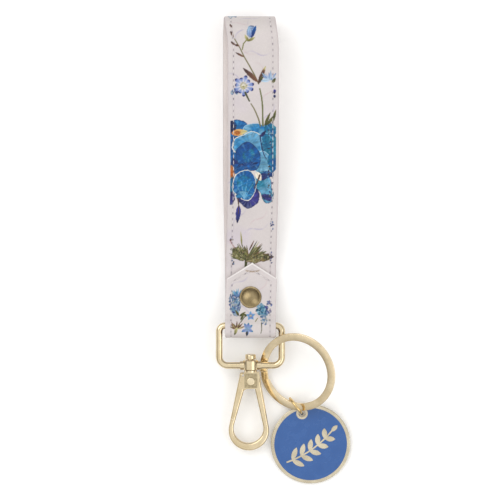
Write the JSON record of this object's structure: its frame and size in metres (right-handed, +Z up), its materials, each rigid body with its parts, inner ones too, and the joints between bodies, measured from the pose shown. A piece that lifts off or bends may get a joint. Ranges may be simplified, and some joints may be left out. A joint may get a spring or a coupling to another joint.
{
  "type": "wristlet keychain",
  "caption": "Wristlet keychain: a printed leather-look hand loop riveted round a gold swivel clasp, with a split ring and a blue enamelled disc charm.",
  "frame": {"origin": "on the resting face of the hand loop's back leg, on its centre line, 80 mm above the clasp's top bar", "axes": "+Z up from the table the object lies on; +Y along the hand loop, away from the clasp; +X to the right, seen from the printed front"},
  "size_m": [0.0604, 0.2092, 0.02],
  "materials": {
    "strap_print": "printed leather-look face, fine grain, satin",
    "strap_lining": "plain leather-look lining, satin",
    "strap_core": "bonded fibre stiffener, matt",
    "rivet_brass": "antique brass, polished dome",
    "clasp_gold": "pale gold plate, polished",
    "spring_steel": "drawn steel wire",
    "ring_gold": "pale gold plate on flattened steel wire",
    "jump_gold": "gold-plated wire",
    "charm_gold": "die-struck metal, pale gold plate",
    "charm_blue": "soft enamel, smooth, recessed"
  },
  "bodies": {
    "strap": {"strap_face": "strap_print", "strap_core": "strap_core", "strap_lining": "strap_lining", "rivet_cap": "rivet_brass", "rivet_post": "rivet_brass"},
    "frame": {"clasp_frame": "clasp_gold"},
    "hook": {"hook_body": "clasp_gold", "swivel_pin": "clasp_gold", "gate_pin": "clasp_gold", "gate_spring": "spring_steel"},
    "gate": {"gate": "clasp_gold"},
    "split_ring": {"split_ring": "ring_gold"},
    "jump_ring": {"jump_ring": "jump_gold"},
    "charm": {"charm_disc": "charm_gold", "charm_enamel": "charm_blue"}
  },
  "joints": [
    {"name": "frame_swing", "type": "hinge", "parent": "strap", "child": "frame", "pos_m": [0, -0.08, 0.0083], "axis": [-1, 0, 0], "range_deg": [-100, 100]},
    {"name": "hook_swivel", "type": "hinge", "parent": "frame", "child": "hook", "pos_m": [0, -0.09755, 0.00692], "axis": [0, 0.9969, 0.0785], "continuous": true},
    {"name": "gate_open", "type": "hinge", "parent": "hook", "child": "gate", "pos_m": [0.0001, -0.10482, 0.00635], "axis": [0, -0.0785, 0.9969], "range_deg": [0, 20], "stiffness_Nm_per_rad": 0.002},
    {"name": "split_ring_swing", "type": "hinge", "parent": "frame", "child": "split_ring", "pos_m": [0, -0.09785, 0.0069], "axis": [1, 0, 0], "range_deg": [0, 120]},
    {"name": "jump_ring_travel", "type": "hinge", "parent": "split_ring", "child": "jump_ring", "pos_m": [0.0209, -0.1006, 0.00996], "axis": [-0.4047, -0.2529, 0.8788], "range_deg": [-8, 140]},
    {"name": "charm_swing", "type": "hinge", "parent": "jump_ring", "child": "charm", "pos_m": [0.02312, -0.11956, 0.00286], "axis": [0.0184, -0.0655, 0.9977], "range_deg": [-3, 60]}
  ]
}
